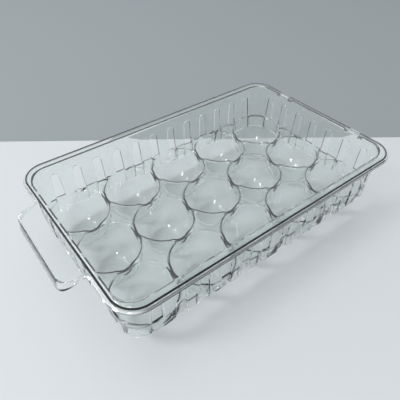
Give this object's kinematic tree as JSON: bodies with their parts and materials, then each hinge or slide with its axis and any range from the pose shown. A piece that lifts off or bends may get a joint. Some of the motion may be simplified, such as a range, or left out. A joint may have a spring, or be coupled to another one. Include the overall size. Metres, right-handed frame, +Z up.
{
  "type": "egg keeper",
  "caption": "Clear egg keeper: slotted tray with a deck of hanging egg cups, a flat rim with a pull handle at one end, and a lid hinged at the other end that flips up.",
  "frame": {"origin": "centre of the foot of the middle egg cup, on the table, under the centre of the cup field", "axes": "+X runs along the tray away from the handle, +Y across the tray, +Z up from the table"},
  "size_m": [0.2813, 0.1686, 0.0647],
  "materials": {
    "tray_plastic": "clear moulded plastic, polished, colourless with a faint cool tint",
    "lid_plastic": "clear moulded plastic, polished, colourless with a faint cool tint"
  },
  "bodies": {
    "tray": {"side_wall_near": "tray_plastic", "side_wall_far": "tray_plastic", "end_wall_handle": "tray_plastic", "end_wall_hinge": "tray_plastic", "wall_corners": "tray_plastic", "tray_rim": "tray_plastic", "pull_handle": "tray_plastic", "egg_cups_near": "tray_plastic", "egg_cups_middle": "tray_plastic", "egg_cups_far": "tray_plastic"},
    "lid": {"lid": "lid_plastic"}
  },
  "joints": [
    {"name": "lid_hinge", "type": "hinge", "parent": "tray", "child": "lid", "pos_m": [0.13015, 0, 0.06015], "axis": [0, 1, 0], "range_deg": [0, 105]}
  ]
}
